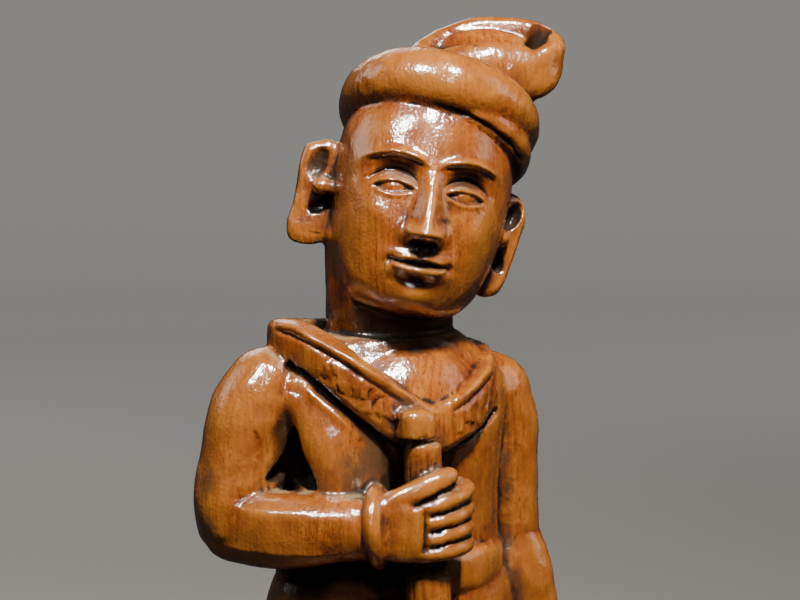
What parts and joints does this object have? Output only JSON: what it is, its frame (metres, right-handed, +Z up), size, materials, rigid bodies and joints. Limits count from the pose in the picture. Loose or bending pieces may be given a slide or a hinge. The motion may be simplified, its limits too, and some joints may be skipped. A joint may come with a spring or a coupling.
{
  "type": "carved wooden guard figure",
  "caption": "Small varnished wooden statue of a turbaned guard in a belted coat, one fist round an upright staff, standing on a low base.",
  "frame": {"origin": "middle of the base's underside", "axes": "+Z up, -Y the way the figure faces, +X the figure's left"},
  "size_m": [0.126, 0.098, 0.301],
  "materials": {
    "varnished_wood": "honey-brown hardwood under glossy varnish, darker in the cuts"
  },
  "bodies": {
    "root": {"guardian_statue": "varnished_wood"}
  },
  "joints": []
}
